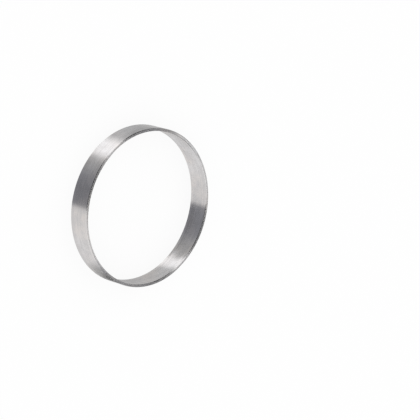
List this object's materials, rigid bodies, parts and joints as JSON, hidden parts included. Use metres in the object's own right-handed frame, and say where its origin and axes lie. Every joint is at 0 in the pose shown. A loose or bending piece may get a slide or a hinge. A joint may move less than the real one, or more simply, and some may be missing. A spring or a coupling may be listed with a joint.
{
  "type": "over-pressure ring",
  "caption": "Thin steel band with a shallow hollow bore that lies round the seal of a small vacuum flange joint and stops it spreading outwards under inside pressure.",
  "frame": {"origin": "centre of the lower end face, on the ring's axis, in the plane that the ring lies on", "axes": "+Z along the ring's axis, up from the lower end face to the upper one; X and Y lie in the lower end face"},
  "size_m": [0.027, 0.027, 0.0039],
  "materials": {
    "ring_steel": "bright turned stainless steel with fine lines round the band"
  },
  "bodies": {
    "root": {"ring": "ring_steel"}
  },
  "joints": []
}
